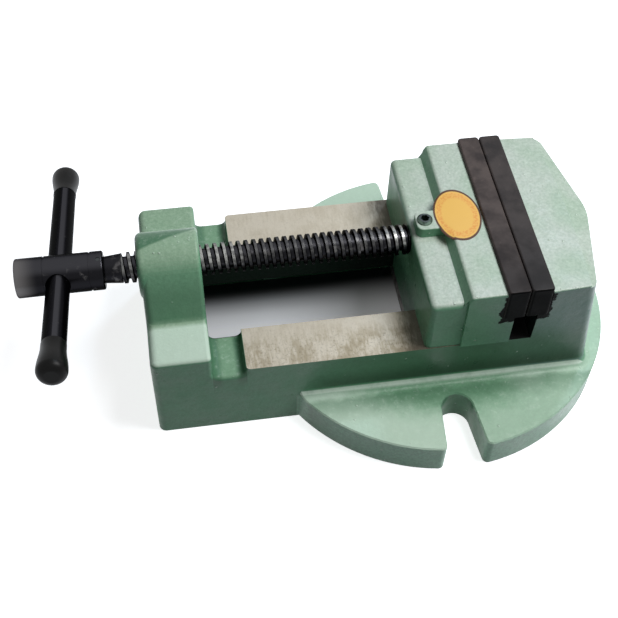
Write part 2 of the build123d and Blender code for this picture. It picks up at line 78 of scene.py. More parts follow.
def linear(code: str) -> tuple[float, float, float, float]:
    """Turns an sRGB hex colour into linear RGBA.

    Args:
        code: Colour such as "#BED4C3".

    Returns:
        Four floats, alpha 1.
    """
    raw = [int(code.lstrip("#")[i : i + 2], 16) / 255 for i in (0, 2, 4)]
    return (*[c / 12.92 if c <= 0.04045 else ((c + 0.055) / 1.055) ** 2.4 for c in raw], 1.0)


def plug(tree: bpy.types.NodeTree, target: bpy.types.NodeSocket, value: Any) -> None:
    """Feeds one input of a node.

    Args:
        tree: Node tree.
        target: The input.
        value: A field or output socket, which is linked, or a plain value, which is set.
    """
    if isinstance(value, Field):
        value = value.socket
    if isinstance(value, bpy.types.NodeSocket):
        tree.links.new(value, target)
    else:
        target.default_value = value


def add_node(
    tree: bpy.types.NodeTree, kind: str, links: dict[Any, Any] | None = None, **settings: Any
) -> bpy.types.Node:
    """Adds one shader node with its settings and inputs.

    Args:
        tree: Node tree that gets the node.
        kind: Blender's node type name.
        links: What each input gets, by its name or index.
        **settings: Attributes of the node, such as operation="MULTIPLY".

    Returns:
        The new node.
    """
    node = tree.nodes.new(kind)
    for key, value in settings.items():
        setattr(node, key, value)
    for key, value in (links or {}).items():
        plug(tree, node.inputs[key], value)
    return node


def pick(nodes: Iterable[Any]) -> None:
    """Selects exactly these objects and makes the last one active.

    Args:
        nodes: Objects to select.
    """
    bpy.ops.object.select_all(action="DESELECT")
    for item in nodes:
        item.select_set(True)
        bpy.context.view_layer.objects.active = item


def everything(_: Any) -> bool:
    """Picks every element."""
    return True


@contextmanager
def editing(
    piece: bpy.types.Object, chosen: Callable[[Any], bool] = everything, mode: str = "FACE"
) -> Iterator[None]:
    """Keeps a piece in edit mode, with the elements selected that a test picks.

    Args:
        piece: Mesh object.
        chosen: Test on a face or vertex of the mesh in object mode.
        mode: FACE or VERT.

    Yields:
        Nothing; object mode comes back afterwards.
    """
    pick([piece])
    bpy.ops.object.mode_set(mode="EDIT")
    bpy.ops.mesh.select_mode(type=mode)
    bpy.ops.mesh.select_all(action="DESELECT")
    bpy.ops.object.mode_set(mode="OBJECT")
    elements = piece.data.polygons if mode == "FACE" else piece.data.vertices
    for element in elements:
        element.select = chosen(element)
    bpy.ops.object.mode_set(mode="EDIT")
    yield
    bpy.ops.object.mode_set(mode="OBJECT")


def extrude(along_x: float, up: float = 0.0) -> None:
    """Extrudes what is selected, by distances in metres."""
    bpy.ops.mesh.extrude_region_move(TRANSFORM_OT_translate={"value": (along_x, 0, up)})


def apply_place(piece: bpy.types.Object) -> None:
    """Moves a piece's place into its mesh, so its object stands at the origin."""
    pick([piece])
    bpy.ops.object.transform_apply(location=True, rotation=True, scale=True)


def apply_modifier(piece: bpy.types.Object, kind: str, **settings: Any) -> None:
    """Adds a modifier with its settings and applies it.

    Args:
        piece: Mesh object.
        kind: Blender's modifier type name.
        **settings: Attributes of the modifier.
    """
    pick([piece])
    modifier = piece.modifiers.new(kind.lower(), kind)
    for key, value in settings.items():
        setattr(modifier, key, value)
    bpy.ops.object.modifier_apply(modifier=modifier.name)


def soften(piece: bpy.types.Object, degrees: float) -> None:
    """Shades a piece smooth except across edges sharper than an angle."""
    pick([piece])
    bpy.ops.object.shade_smooth_by_angle(angle=math.radians(degrees))


def finish_piece(
    piece: bpy.types.Object, name: str, body: Body, material: bpy.types.Material
) -> None:
    """Names a new piece, dresses it and makes it ride on its body.

    Args:
        piece: Mesh object.
        name: Name of the piece.
        body: Body that it rides on.
        material: Its material.
    """
    piece.name = name
    piece.data.name = name
    piece.data.materials.clear()
    piece.data.materials.append(material)
    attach(piece, body.value)
    LOG.info("%s: %d faces on %s", name, len(piece.data.polygons), body.value)


def dress(material: bpy.types.Material, *nodes: str) -> None:
    """Gives carried-over CAD nodes one material in every slot.

    Args:
        material: The material.
        *nodes: Names of the nodes.
    """
    for node in nodes:
        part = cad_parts[node]
        if not part.material_slots:
            part.data.materials.append(material)
        for slot in part.material_slots:
            slot.material = material
        LOG.info("%s: carried over, %s", node, material.name)


@dataclass(frozen=True)
class Field:
    """A number that a shader works out at every point, with the sums that masks are made of.

    Masks multiply where both have to hold, and join with | where either is enough.

    Attributes:
        tree: Node tree that works it out.
        socket: Its output socket, or a plain number.
    """

    tree: bpy.types.NodeTree
    socket: Any

    def sum(self, operation: str, other: Field | float = 0.0) -> Field:
        """Does one sum with another field or a number."""
        node = add_node(self.tree, "ShaderNodeMath", {0: self, 1: other}, operation=operation)
        return Field(self.tree, node.outputs[0])

    def __add__(self, other: Field | float) -> Field:
        """Adds a field or number."""
        return self.sum("ADD", other)

    def __sub__(self, other: Field | float) -> Field:
        """Takes a field or number away."""
        return self.sum("SUBTRACT", other)

    def __mul__(self, other: Field | float) -> Field:
        """Multiplies by a field or number."""
        return self.sum("MULTIPLY", other)

    def __or__(self, other: Field | float) -> Field:
        """Takes the larger of the two."""
        return self.sum("MAXIMUM", other)

    def __gt__(self, other: Field | float) -> Field:
        """Is 1 where it is over a field or number, else 0."""
        return self.sum("GREATER_THAN", other)

    def __lt__(self, other: Field | float) -> Field:
        """Is 1 where it is under a field or number, else 0."""
        return self.sum("LESS_THAN", other)

    def __abs__(self) -> Field:
        """Drops the sign."""
        return self.sum("ABSOLUTE")

    def inverse(self) -> Field:
        """Takes it from 1."""
        return Field(self.tree, 1.0) - self

    def hypot(self, other: Field) -> Field:
        """Works out the long side of a right triangle from its short ones."""
        return (self * self + other * other).sum("SQRT")

    def ramp(self, low: float, high: float, bottom: float = 0.0, top: float = 1.0) -> Field:
        """Maps one range to another, smoothly and clamped.

        Args:
            low: Value that gives bottom. A ramp that falls has the higher value here.
            high: Value that gives top.
            bottom: Result at low.
            top: Result at high.

        Returns:
            The mapped value.
        """
        reach = {"Value": self, "From Min": low, "From Max": high, "To Min": bottom, "To Max": top}
        node = add_node(self.tree, "ShaderNodeMapRange", reach, interpolation_type="SMOOTHSTEP")
        return Field(self.tree, node.outputs[0])


@dataclass(frozen=True)
class Surface:
    """A material in the making.

    Attributes:
        material: The material.
        tree: Its node tree.
        shader: Its Principled shader.
        output: Its output node.
        place: Object coordinates in metres, as one vector.
        x: Object coordinate along the screw in millimetres.
        y: Object coordinate across the jaws in millimetres.
        z: Object coordinate upwards in millimetres.
    """

    material: bpy.types.Material
    tree: bpy.types.NodeTree
    shader: Any
    output: Any
    place: Any
    x: Field
    y: Field
    z: Field

    @classmethod
    def start(cls, name: str) -> Surface:
        """Starts a material.

        Args:
            name: Material name.

        Returns:
            The material with a Principled shader and its coordinates.
        """
        material = bpy.data.materials.new(name)
        material.use_nodes = True
        tree = material.node_tree
        tree.nodes.clear()
        shader = add_node(tree, "ShaderNodeBsdfPrincipled")
        output = add_node(tree, "ShaderNodeOutputMaterial", {"Surface": shader.outputs[0]})
        place = add_node(tree, "ShaderNodeTexCoord").outputs["Object"]
        parts = add_node(tree, "ShaderNodeSeparateXYZ", {0: place}).outputs
        return cls(material, tree, shader, output, place, *(Field(tree, part) * (1 / MM) for part in parts))

    def noise(
        self,
        size_mm: float,
        detail: float = 3.0,
        roughness: float = 0.5,
        drawn: tuple[float, float, float] = (1.0, 1.0, 1.0),
        turn: float = 0.0,
    ) -> Field:
        """Adds a noise pattern at a real size.

        Args:
            size_mm: Width of one blotch in millimetres.
            detail: Octaves of finer noise.
            roughness: Weight of the finer octaves.
            drawn: Share of each coordinate that counts; a small one draws the pattern out that way.
            turn: Turn of a drawn pattern about Z, in radians.

        Returns:
            The pattern, about 0 to 1.
        """
        vector = self.place
        if drawn != (1.0, 1.0, 1.0) or turn:
            way = {0: vector, "Rotation": (0.0, 0.0, turn), "Scale": drawn}
            vector = add_node(self.tree, "ShaderNodeMapping", way).outputs[0]
        pattern = {"Vector": vector, "Scale": 1 / MM / size_mm, "Detail": detail, "Roughness": roughness}
        return Field(self.tree, add_node(self.tree, "ShaderNodeTexNoise", pattern).outputs[0])

    def normal(self, kind: str) -> list[Field]:
        """Splits a normal into its parts.

        Args:
            kind: Normal, or True Normal for the one that smoothing leaves alone.

        Returns:
            Its parts along X, Y and Z.
        """
        whole = add_node(self.tree, "ShaderNodeNewGeometry").outputs[kind]
        parts = add_node(self.tree, "ShaderNodeSeparateXYZ", {0: whole}).outputs
        return [Field(self.tree, part) for part in parts]

    def mix(self, share: Field, first: Any, second: Any) -> Any:
        """Mixes two colours.

        Args:
            share: Share of the second one.
            first: Colour socket or sRGB hex.
            second: Colour socket or sRGB hex.

        Returns:
            The mixed colour's socket.
        """
        links = {0: share}
        for index, colour in ((6, first), (7, second)):
            links[index] = linear(colour) if isinstance(colour, str) else colour
        return add_node(self.tree, "ShaderNodeMix", links, data_type="RGBA").outputs[2]

    def bump(self, height: Field, depth_mm: float, strength: float) -> Any:
        """Adds a bump of a real depth.

        Args:
            height: Height pattern, 0 to 1.
            depth_mm: Depth of the pattern in millimetres.
            strength: Share of the bump that shows.

        Returns:
            The normal's socket.
        """
        links = {"Height": height, "Distance": depth_mm * MM, "Strength": strength}
        return add_node(self.tree, "ShaderNodeBump", links).outputs[0]

    def give(self, inputs: dict[str, Any]) -> None:
        """Links or sets the shader's inputs by name."""
        for name, value in inputs.items():
            plug(self.tree, self.shader.inputs[name], value)

    def cover(self, share: Field, shader: Any) -> None:
        """Lays another shader over the surface as far as a mask says."""
        both = add_node(self.tree, "ShaderNodeMixShader", {0: share, 1: self.shader.outputs[0], 2: shader})
        self.tree.links.new(both.outputs[0], self.output.inputs["Surface"])


@dataclass(frozen=True)
class MachineEnamel:
    """Machine enamel sprayed over a sand casting, pale on top, with light and shade painted into it.

    The film is glossy and lumpy, so nubs of sand catch small highlights, and pale dots on them are painted
    highlights. It turns darker and greener towards the bottom; painted shade darkens its upright faces,
    corners, creases and the walls under the jaw, with a painted cool shade at the fixed jaw, and a painted
    highlight runs along the foot fillet beside a painted sheen on the flange. Black marking compound wiped
    off the jaw plates stays as smears beside them, the window's inner walls are painted black as shade,
    and the ways are planed bare.

    Attributes:
        name: Material name.
        with_ways: True for the base, which has the ways, the window and the flange.
        paint: Paint on top; deep a deeper tone at random and at the screw's end, low_green the darker,
            greener tone towards the bottom.
        pale_dust_and_highlight: Pale of dust and of painted highlights; rim and shaded_wall the tones of
            upright faces, shaded_wall being painted shade.
        cool: Painted cool shade on the upright faces at the fixed jaw.
        mottle_and_shade: Dark green of the random mottle and of painted shade, crease_shade its darkest
            strip of painted shade.
        paste_and_shade_black: Black of the wiped-off smears, of painted shade on the window's inner walls
            and of the ways' end between the jaws.
        iron: Planed iron, stain and grime_and_shade what lies on it, grime_and_shade also painted shade at
            the jaw's foot.
        lump_mm: Size of the film's lumps, grain_mm of its grain, nub_mm between nubs of sand.
        flange_edge_mm: Radius where the flange's edge starts to pale, and where that ends.
        block_x_mm: Ends of the nut block, and shoulder_mm the height of its shoulders.
        smear_x_mm: Left and right end of the smears, which reach from smear_low_mm to smear_top_mm.
        smear_soft_mm: Half the width of their soft edge.
    """

    name: str
    with_ways: bool
    paint: str = "#BFC9BF"
    deep: str = "#92B294"
    pale_dust_and_highlight: str = "#DCEFE0"
    low_green: str = "#7DAC8A"
    shaded_wall: str = "#69A480"
    rim: str = "#B8E8CC"
    cool: str = "#76908C"
    mottle_and_shade: str = "#4A7458"
    crease_shade: str = "#1C3322"
    paste_and_shade_black: str = "#0A0B0B"
    iron: str = "#C4BCAC"
    stain: str = "#9C927C"
    grime_and_shade: str = "#50483C"
    lump_mm: float = 4.5
    grain_mm: float = 0.9
    nub_mm: float = 6.0
    flange_top_mm: float = 19.0
    flange_edge_mm: tuple[float, float] = (86.0, 98.4)
    block_x_mm: tuple[float, float] = (-155.75, -125.25)
    shoulder_mm: float = 59.7
    way_top_mm: float = 48.25
    way_start_mm: float = -108.25
    window_y_mm: float = 27.25
    window_end_mm: float = 32.25
    fixed_front_mm: float = 39.35
    smear_x_mm: tuple[float, float] = (19.8, 45.4)
    smear_low_mm: float = 65.0
    smear_top_mm: float = 86.0
    smear_soft_mm: float = 0.4

    def build(self) -> bpy.types.Material:
        """Returns the finished material."""
        coat = Surface.start(self.name)
        upward = abs(coat.normal("True Normal")[2])
        nub = self.sand_nubs(coat)
        colour = self.film(coat, upward)
        if self.with_ways:
            colour = coat.mix(self.dust_and_highlight_mask(coat) * upward.ramp(0.08, 0.3), colour, self.pale_dust_and_highlight)
            # Painted shade behind and on the crest, in the groove, along the foot and under the jaw.
            colour = coat.mix(self.painted_shade_mask(coat), colour, self.mottle_and_shade)
        patches = coat.noise(3.5, 5.0, 0.7).ramp(0.5, 0.75, 0.0, 0.24) * upward.ramp(0.6, 0.95)
        # Pale dots on the nubs are painted highlights; the pale patches on top are dust.
        colour = coat.mix(patches | nub * 0.5, colour, self.pale_dust_and_highlight)
        smear_and_shade = self.wiped_paste(coat)
        if self.with_ways:
            # Painted black shade on the window's inner walls, and black on the ways' end between the jaws.
            smear_and_shade = smear_and_shade | self.window_shade_and_gap_black(coat)
            # Painted shade in the crease along the foot of the walls.
            colour = coat.mix(self.crease(coat), colour, self.crease_shade)
        height = coat.noise(self.lump_mm, 2.0) + coat.noise(self.grain_mm, 2.0) * 0.18 + nub * 1.6
        coat.give(
            {
                "Base Color": coat.mix(smear_and_shade, colour, self.paste_and_shade_black),
                "Roughness": coat.noise(14.0, 4.0).ramp(0.3, 0.7, 0.27, 0.42),
                "Specular IOR Level": smear_and_shade.ramp(0.0, 1.0, 0.5, 0.05),
                "Normal": coat.bump(height, depth_mm=0.34, strength=0.7),
                "IOR": 1.33,
            }
        )
        if self.with_ways:
            level = abs(coat.z - self.way_top_mm) < 0.12
            bare = level * (coat.x > self.way_start_mm + 0.2) * (upward > 0.9)
            coat.cover(bare, self.scraped_iron(coat))
        return coat.material

    def sand_nubs(self, coat: Surface) -> Field:
        """Masks the nubs of sand, which stand in some patches only."""
        cells = {"Vector": coat.place, "Scale": 1 / MM / self.nub_mm}
        far = Field(coat.tree, add_node(coat.tree, "ShaderNodeTexVoronoi", cells).outputs["Distance"])
        return far.ramp(0.14, 0.04) * coat.noise(10.0, 1.0).ramp(0.5, 0.58)

    def film(self, coat: Surface, upward: Field) -> Any:
        """Colours the film: pale on top, deeper at the screw's end, darker towards the bottom, with painted
        shade on upright faces and painted cool shade at the fixed jaw.

        Args:
            coat: The enamel's surface.
            upward: How far the surface faces up, 0 to 1.

        Returns:
            The colour socket.
        """
        x, y, z = coat.x, coat.y, coat.z
        top = self.flange_top_mm
        inner, outer = self.flange_edge_mm
        broad = coat.noise(30.0, 3.0)
        green = broad.ramp(0.35, 0.65, 0.0, 0.45) | x.ramp(-110, -30, 0.9, 0.0)
        colour = coat.mix(green, self.paint, self.deep)
        # Darker and greener towards the bottom.
        colour = coat.mix((z + broad * 20).ramp(72, 26), colour, self.low_green)
        out = x.hypot(y)
        edge = z.ramp(top + 2, top - 2) * out.ramp(inner, inner + 8)
        edge = edge * out.ramp(outer, outer - 1)
        walls = coat.mix(edge, self.shaded_wall, self.rim)
        # Painted shade on upright faces; the flange's outer edge gets a lighter tone instead.
        colour = coat.mix(upward.ramp(0.3, 0.97, 0.95, 0.0), colour, walls)
        # Painted cool shade on the upright faces at the fixed jaw.
        cool_shade_mask = x.ramp(5, 45, 0.0, 0.85) * upward.ramp(0.6, 0.2) * z.ramp(top - 1, top + 3)
        colour = coat.mix(cool_shade_mask, colour, self.cool)
        return coat.mix(coat.noise(1.5, 4.0, 0.65).ramp(0.3, 0.7, 0.0, 0.26), colour, self.mottle_and_shade)

    def painted_shade_mask(self, coat: Surface) -> Field:
        """Masks painted shade: behind the crest and on its near flank, in the groove's ends, along the foot
        and low on the body under the jaw.

        Args:
            coat: The enamel's surface.

        Returns:
            The mask.
        """
        x, y, z = coat.x, coat.y, coat.z
        start, end = self.block_x_mm
        shoulder, top, body = self.shoulder_mm, self.flange_top_mm, BODY_HALF_MM
        ragged = (coat.noise(7.0, 3.0) - 0.5) * 7
        slope = y + ragged * 0.2 - (x - start) * 0.42
        wedge = slope.ramp(-5.0, -3.0) * y.ramp(9.3, 10.3, 1.0, 0.15)
        wedge = wedge * z.ramp(shoulder + 0.8, shoulder + 2.8)
        flank = z.ramp(shoulder + 24.3, shoulder + 10.3, 0.0, 0.62) * y.ramp(-11, -18)
        flank = flank * z.ramp(shoulder + 0.5, shoulder + 1.1)
        behind = (wedge | flank) * x.ramp(end, end + 1, 0.95, 0.0)
        middle = (end + self.way_start_mm) / 2
        half = abs(end - self.way_start_mm) / 2
        aside = abs(x - middle)
        groove = (aside + ragged * 0.4).ramp(half - 6, half - 2.5, 0.25, 1.0)
        groove = groove * ((aside < half + 0.2) * z.ramp(30, 41, 0.0, 0.95))
        wide = abs(y) + ragged
        foot = wide.ramp(body + 6, body + 20, 0.5, 0.0) * wide.ramp(body + 3.5, body + 7)
        foot = foot * z.ramp(top + 5, top + 1)
        under = x.ramp(-80, -10, 0.1, 0.75) * z.ramp(top + 4, top + 6)
        under = under * (z.ramp(62, 42) * (abs(y) > body - 1))
        return behind | under | groove | foot

    def dust_and_highlight_mask(self, coat: Surface) -> Field:
        """Masks pale paint: dust on the flange's outer edge, a paler near shoulder, a painted highlight
        along the foot fillet and a painted sheen on the flange beside the fixed jaw.

        Args:
            coat: The enamel's surface.

        Returns:
            The mask.
        """
        x, y, z = coat.x, coat.y, coat.z
        top, body = self.flange_top_mm, BODY_HALF_MM
        ragged = coat.noise(9.0, 5.0, 0.65)
        out = x.hypot(y) + (ragged - 0.5) * 16
        rim = out.ramp(62, 86) * x.ramp(-12, 12, 0.62, 0.35) * z.ramp(top - 2, top - 0.4)
        wide = abs(y)
        # Painted highlight along the foot fillet.
        fillet = z.ramp(top + 0.5, top + 2) * z.ramp(top + 5, top + 3.2)
        fillet = fillet * wide.ramp(body + 0.05, body + 0.3) * ragged.ramp(0.3, 0.55, 0.7, 1.0)
        # Painted sheen: a pale spot on the flange beside the fixed jaw.
        spot = (x - 43).hypot(wide - (body + 8)).ramp(3, 20, 0.4, 0.0)
        rim = (rim | spot) * z.ramp(top + 2, top + 1)
        shoulder = y.ramp(-31.5, -28.5, 0.65, 0.0) * z.ramp(self.shoulder_mm - 1.7, self.shoulder_mm - 0.7)
        shoulder = shoulder * (x < self.block_x_mm[1] + 0.1)
        return shoulder | rim | fillet

    def crease(self, coat: Surface) -> Field:
        """Masks painted shade in the darkest strip, where the body's walls meet the foot fillet.

        Args:
            coat: The enamel's surface.

        Returns:
            The mask.
        """
        x, z, top = coat.x, coat.z, self.flange_top_mm
        strip = z.ramp(top + 4, top + 5.5) * z.ramp(top + 6, top + 21, 0.6, 0.0)
        strip = strip * x.ramp(-82, -60) * x.ramp(72, 66)
        return strip * (abs(coat.y) > BODY_HALF_MM - 0.5)

    def window_shade_and_gap_black(self, coat: Surface) -> Field:
        """Masks black: painted shade on the window's inner walls, and the ways' end between the jaws.

        Args:
            coat: The enamel's surface.

        Returns:
            The mask of the window's inner walls and of the ways' end between the jaws.
        """
        x, z, way = coat.x, coat.z, self.way_top_mm
        inner = abs(coat.y) < self.window_y_mm + 0.3
        along = (x > self.block_x_mm[1] - 0.5) * (x < self.window_end_mm + 0.3)
        gap = x.ramp(-4, 6) * x.ramp(self.fixed_front_mm, self.fixed_front_mm + 0.25, 0.95, 0.0)
        return gap * (z > way - 0.2) | inner * along * z.ramp(way - 1.2, way - 0.3, 0.93, 0.0)

    def wiped_paste(self, coat: Surface) -> Field:
        """Masks the torn black smears on both ends of the jaws, under and beside the plates.

        Args:
            coat: The enamel's surface.

        Returns:
            The mask.
        """
        wander = (coat.noise(5.0, 4.0, 0.6) - 0.5) * 8
        across, up = coat.x + wander, coat.z + wander
        left, right = self.smear_x_mm
        low, top, soft = self.smear_low_mm, self.smear_top_mm, self.smear_soft_mm
        inside = across.ramp(left - soft, left + soft) * across.ramp(right + soft, right - soft)
        tall = up.ramp(low - soft, low + soft) * coat.z.ramp(top, top - 1)
        return inside * tall * (abs(coat.y) > BODY_HALF_MM - 0.6)

    def scraped_iron(self, coat: Surface) -> Any:
        """Makes the planed iron of the ways, stained more on the near one, darker at the jaw's foot from
        grime and painted shade, and black between the jaws.

        Args:
            coat: The enamel's surface.

        Returns:
            The iron's shader socket.
        """
        strokes = coat.noise(0.8, 3.0, drawn=(0.06, 1.0, 1.0))
        hatch = coat.noise(1.4, 4.0, 0.65, drawn=(1.0, 0.2, 1.0), turn=0.6)
        blotch = (coat.noise(12.0, 3.0, 0.55) * 0.55 + hatch * 0.45).ramp(0.38, 0.62)
        near = coat.y.ramp(-30, -45, 0.35, 1.0)
        colour = coat.mix(blotch * near, self.iron, self.stain)
        spots = coat.noise(1.2, 4.0, 0.65).ramp(0.5, 0.75)
        colour = coat.mix(spots * (near * 0.55), colour, self.grime_and_shade)
        # Darker at the jaw's foot: partly grime, partly painted shade.
        wobble = coat.x + blotch * 4
        foot = wobble.ramp(-27, -17, 0.0, 0.85) * wobble.ramp(-8, 12, 1.0, 0.2)
        colour = coat.mix(foot, colour, self.grime_and_shade)
        look = {
            # Black on the ways' end between the jaws.
            "Base Color": coat.mix(coat.x.ramp(20, 26), colour, self.paste_and_shade_black),
            "Roughness": blotch.ramp(0.0, 1.0, 0.42, 0.6),
            "Normal": coat.bump(strokes, depth_mm=0.05, strength=0.4),
            "Metallic": 0.25,
        }
        return add_node(coat.tree, "ShaderNodeBsdfPrincipled", look).outputs[0]


@dataclass(frozen=True)
class OiledSteel:
    """Ground steel under a brown-black oil-burnt skin that has no shine left at its ends."""

    name: str = "oiled_steel"
    skin: str = "#4F4643"
    dark: str = "#2E2929"
    worn: str = "#7A6A64"
    near: str = "#161314"
    fixed: str = "#222324"
    burnt: str = "#070708"
    near_end_mm: float = -54.0
    fixed_x_mm: tuple[float, float] = (31.5, 33.5)

    def build(self) -> bpy.types.Material:
        """Returns the finished material."""
        bar = Surface.start(self.name)
        cloud = bar.noise(18.0, 4.0, 0.6).ramp(0.35, 0.7)
        rub = bar.noise(5.0, 5.0, 0.65).ramp(0.6, 0.75)
        burnt = bar.y.ramp(self.near_end_mm - 0.2, self.near_end_mm - 0.8)
        grind = bar.noise(0.35, 2.0, drawn=(1.0, 0.03, 1.0))
        colour = bar.mix(cloud, self.skin, self.dark)
        colour = bar.mix(rub * 0.3, colour, self.worn)
        colour = bar.mix(bar.y.ramp(10, self.near_end_mm, 0.0, 0.75), colour, self.near)
        colour = bar.mix(bar.x.ramp(*self.fixed_x_mm, 0.0, 0.45), colour, self.fixed)
        bar.give(
            {
                "Base Color": bar.mix(burnt, colour, self.burnt),
                "Roughness": cloud.ramp(0.0, 1.0, 0.42, 0.56),
                "Normal": bar.bump(grind, depth_mm=0.02, strength=0.5),
                "Specular IOR Level": burnt.ramp(0.0, 1.0, 0.5, 0.1),
                "IOR": 1.22,
            }
        )
        return bar.material


@dataclass(frozen=True)
class BlackOxide:
    """Turned steel blackened in a hot salt bath; handling polishes it grey in places, and a grey band is a
    painted highlight.

    On the screw the crests of the thread are rubbed bright, most where they enter the nut
    block and where they stop at the jaw, and brighter on the upper side as a painted highlight.

    Attributes:
        name: Material name.
        rub_low: Noise value at which rubbing starts; a low one gives more of it.
        rub_high: Noise value at which it is full.
        rough: Roughness of the skin.
        end_x_mm: Hub's left end, and where its wear stops.
        crest_mm: Radius of the thread's crest, or 0 for a piece without thread.
        bright_x_mm: Where the bright crests start and end at the block, and at the jaw.
        dull_x_mm: Where the crests beyond the block are dullest, and where that stops.
    """

    name: str
    skin: str = "#1B1B1E"
    worn: str = "#6E6C6C"
    highlight_grey: str = "#3F3F43"
    bright: str = "#A9AAA7"
    sheen: str = "#8C8C8C"
    rub_low: float = 0.62
    rub_high: float = 0.8
    rough: float = 0.24
    end_x_mm: tuple[float, float] = (-218.0, -206.0)
    crest_mm: float = 0.0
    bright_x_mm: tuple[float, float, float, float] = (-112.0, -98.0, -32.0, -24.0)
    dull_x_mm: tuple[float, float] = (-165.0, -150.0)

    def build(self) -> bpy.types.Material:
        """Returns the finished material."""
        turned = Surface.start(self.name)
        rub = turned.noise(5.0, 4.0, 0.6).ramp(self.rub_low, self.rub_high)
        colour = turned.mix(rub * 0.6, self.skin, self.worn)
        lean = turned.normal("Normal")
        # Painted highlight: a grey band where the surface faces up and a little towards +X.
        painted_highlight = abs(lean[0] - 0.2).ramp(0.36, 0.12) * lean[2].ramp(0.72, 0.96)
        colour = turned.mix(painted_highlight, colour, self.highlight_grey)
        colour = turned.mix(turned.x.ramp(*self.end_x_mm, 0.75, 0.0), colour, self.worn)
        if self.crest_mm:
            colour = turned.mix(self.rubbed_and_highlit_crest(turned), colour, self.bright)
        rings = turned.noise(0.4, 2.0, drawn=(1.0, 0.05, 0.05))
        turned.give(
            {
                "Base Color": colour,
                "Roughness": rub.ramp(0.0, 1.0, self.rough, self.rough + 0.1),
                "Normal": turned.bump(rings, depth_mm=0.02, strength=0.5),
                "Metallic": 0.92,
                "Specular Tint": linear(self.sheen),
            }
        )
        return turned.material

    def rubbed_and_highlit_crest(self, turned: Surface) -> Field:
        """Masks the thread's rubbed crests, with a painted highlight that makes them brighter on the upper
        side.

        Args:
            turned: The screw's surface.

        Returns:
            The mask.
        """
        x = turned.x
        rise = turned.z - SCREW_AXIS_MM
        crest = turned.y.hypot(rise).ramp(self.crest_mm - 0.5, self.crest_mm - 0.1)
        block_start, block_end, jaw_start, jaw_end = self.bright_x_mm
        ends = x.ramp(block_end, block_start) | x.ramp(jaw_start, jaw_end)
        # Brighter on the upper side: painted highlight.
        share = (ends * 0.7 + 0.16) * rise.ramp(1.5, 6.5, 0.03, 1.0) * x.ramp(*self.dull_x_mm, 0.45, 1.0)
        return crest * share * turned.noise(2.5, 3.0, 0.6).ramp(0.35, 0.6, 0.35, 1.0)


@dataclass(frozen=True)
class BlackCap:
    """Moulded black plastic, satin, with fine dimples and scuffs; it is darker towards the near end."""

    name: str = "cap_plastic"
    black: str = "#101010"
    scuff: str = "#2C2C2E"
    near_dark: str = "#060606"

    def build(self) -> bpy.types.Material:
        """Returns the finished material."""
        cap = Surface.start(self.name)
        scuffs = cap.noise(3.0, 5.0, 0.7).ramp(0.6, 0.78)
        colour = cap.mix(scuffs, self.black, self.scuff)
        cap.give(
            {
                "Base Color": cap.mix(cap.y.ramp(10, -40), colour, self.near_dark),
                "Roughness": scuffs.ramp(0.0, 1.0, 0.35, 0.6),
                "Normal": cap.bump(cap.noise(0.5, 2.0), depth_mm=0.04, strength=0.5),
                "IOR": 1.22,
            }
        )
        return cap.material


@dataclass(frozen=True)
class PaperLabel:
    """Coated yellow paper with a brown rim and a faint orange band, worn at its edge; no print."""

    name: str = "label_paper"
    field: str = "#E4B65C"
    tint: str = "#D98F45"
    rim: str = "#4A2A18"

    def build(self) -> bpy.types.Material:
        """Returns the finished material."""
        paper = Surface.start(self.name)
        across, along = (
            (value - centre) * (1 / half)
            for value, centre, half in zip((paper.x, paper.y), LABEL_CENTRE_MM, LABEL_HALF_MM)
        )
        out = across.hypot(along)
        fleck = paper.noise(1.2, 4.0, 0.65)
        band = out.ramp(0.62, 0.7) * out.ramp(0.9, 0.84)
        colour = paper.mix(band * fleck.ramp(0.42, 0.6, 0.1, 0.8), self.field, self.tint)
        paper.give(
            {
                "Base Color": paper.mix((out + fleck * 0.02).ramp(0.92, 0.95), colour, self.rim),
                "Roughness": fleck.ramp(0.3, 0.7, 0.38, 0.5),
                "Normal": paper.bump(paper.noise(0.25, 2.0), depth_mm=0.02, strength=0.4),
                "IOR": 1.4,
            }
        )
        return paper.material


@dataclass(frozen=True)
class PlainSteel:
    """Bright machined steel of the keeper and its fasteners, clouded by handling."""

    name: str = "fastener_steel"
    steel: str = "#8E8B86"
    dark: str = "#5C5955"

    def build(self) -> bpy.types.Material:
        """Returns the finished material."""
        metal = Surface.start(self.name)
        cloud = metal.noise(5.0, 4.0, 0.6).ramp(0.35, 0.7)
        metal.give(
            {
                "Base Color": metal.mix(cloud, self.steel, self.dark),
                "Roughness": cloud.ramp(0.0, 1.0, 0.35, 0.5),
                "Normal": metal.bump(metal.noise(0.3, 2.0), depth_mm=0.02, strength=0.4),
                "Metallic": 0.9,
            }
        )
        return metal.material


